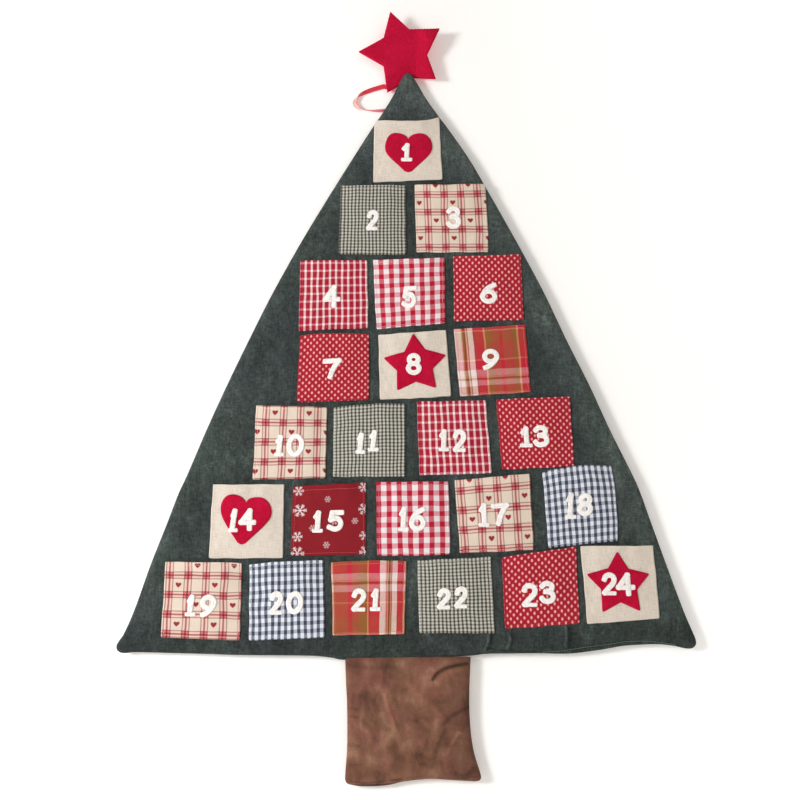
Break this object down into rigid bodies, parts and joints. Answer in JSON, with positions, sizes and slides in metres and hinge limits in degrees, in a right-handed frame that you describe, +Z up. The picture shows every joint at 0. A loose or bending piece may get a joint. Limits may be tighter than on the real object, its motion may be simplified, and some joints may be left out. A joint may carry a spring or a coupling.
{
  "type": "advent calendar",
  "caption": "Padded felt tree wall hanging with rows of numbered open cloth pockets, a felt star, a fold-up trunk and a ribbon loop.",
  "frame": {"origin": "where the ribbon loop is stitched to the back of the tree's tip, on the ribbon's own mid level", "axes": "+Z up along the tree's height, +Y backwards to the wall, +X to the viewer's right; the pockets face -Y"},
  "size_m": [0.6956, 0.0239, 1.0262],
  "materials": {
    "tree_felt": "brushed dark green felt, matt, slightly mottled",
    "wadding": "white polyester wadding",
    "suede": "brown suede-like cloth, short nap, soft creases",
    "red_felt": "red wool felt, matt",
    "ribbon": "red satin ribbon, glossy",
    "white_felt": "cream white felt, matt",
    "linen": "natural linen, plain weave",
    "grey_check": "grey and white mini gingham cotton",
    "heart_plaid": "cream and red plaid cotton with small hearts",
    "red_panes": "red cotton with a fine white windowpane check",
    "red_gingham": "red and white gingham cotton",
    "red_dots": "red cotton with small staggered white dots",
    "red_snow": "deep red cotton with white snowflakes",
    "navy_check": "navy and white gingham cotton",
    "madras": "rust, red, olive and white madras plaid cotton"
  },
  "bodies": {
    "tree": {"tree_front": "tree_felt", "tree_back": "tree_felt", "tree_wadding": "wadding", "star_topper": "red_felt", "pocket_01": "linen", "heart_01": "red_felt", "number_01": "white_felt", "pocket_02": "grey_check", "number_02": "white_felt", "pocket_03": "heart_plaid", "number_03": "white_felt", "pocket_04": "red_panes", "number_04": "white_felt", "pocket_05": "red_gingham", "number_05": "white_felt", "pocket_06": "red_dots", "number_06": "white_felt", "pocket_07": "red_dots", "number_07": "white_felt", "pocket_08": "linen", "star_08": "red_felt", "number_08": "white_felt", "pocket_09": "madras", "number_09": "white_felt", "pocket_10": "heart_plaid", "number_10": "white_felt", "pocket_11": "grey_check", "number_11": "white_felt", "pocket_12": "red_panes", "number_12": "white_felt", "pocket_13": "red_dots", "number_13": "white_felt", "pocket_14": "linen", "heart_14": "red_felt", "number_14": "white_felt", "pocket_15": "red_snow", "number_15": "white_felt", "pocket_16": "red_gingham", "number_16": "white_felt", "pocket_17": "heart_plaid", "number_17": "white_felt", "pocket_18": "navy_check", "number_18": "white_felt", "pocket_19": "heart_plaid", "number_19": "white_felt", "pocket_20": "navy_check", "number_20": "white_felt", "pocket_21": "madras", "number_21": "white_felt", "pocket_22": "grey_check", "number_22": "white_felt", "pocket_23": "red_dots", "number_23": "white_felt", "pocket_24": "linen", "star_24": "red_felt", "number_24": "white_felt"},
    "trunk": {"trunk_front": "suede", "trunk_back": "suede", "trunk_wadding": "wadding"},
    "loop": {"hanging_loop": "ribbon"}
  },
  "joints": [
    {"name": "trunk_fold", "type": "hinge", "parent": "tree", "child": "trunk", "pos_m": [0, -0.00655, -0.742], "axis": [-1, 0, 0], "range_deg": [0, 75]},
    {"name": "hanging_loop_swing", "type": "hinge", "parent": "tree", "child": "loop", "pos_m": [0, 0, 0], "axis": [0, 1, 0], "range_deg": [0, 190]}
  ]
}
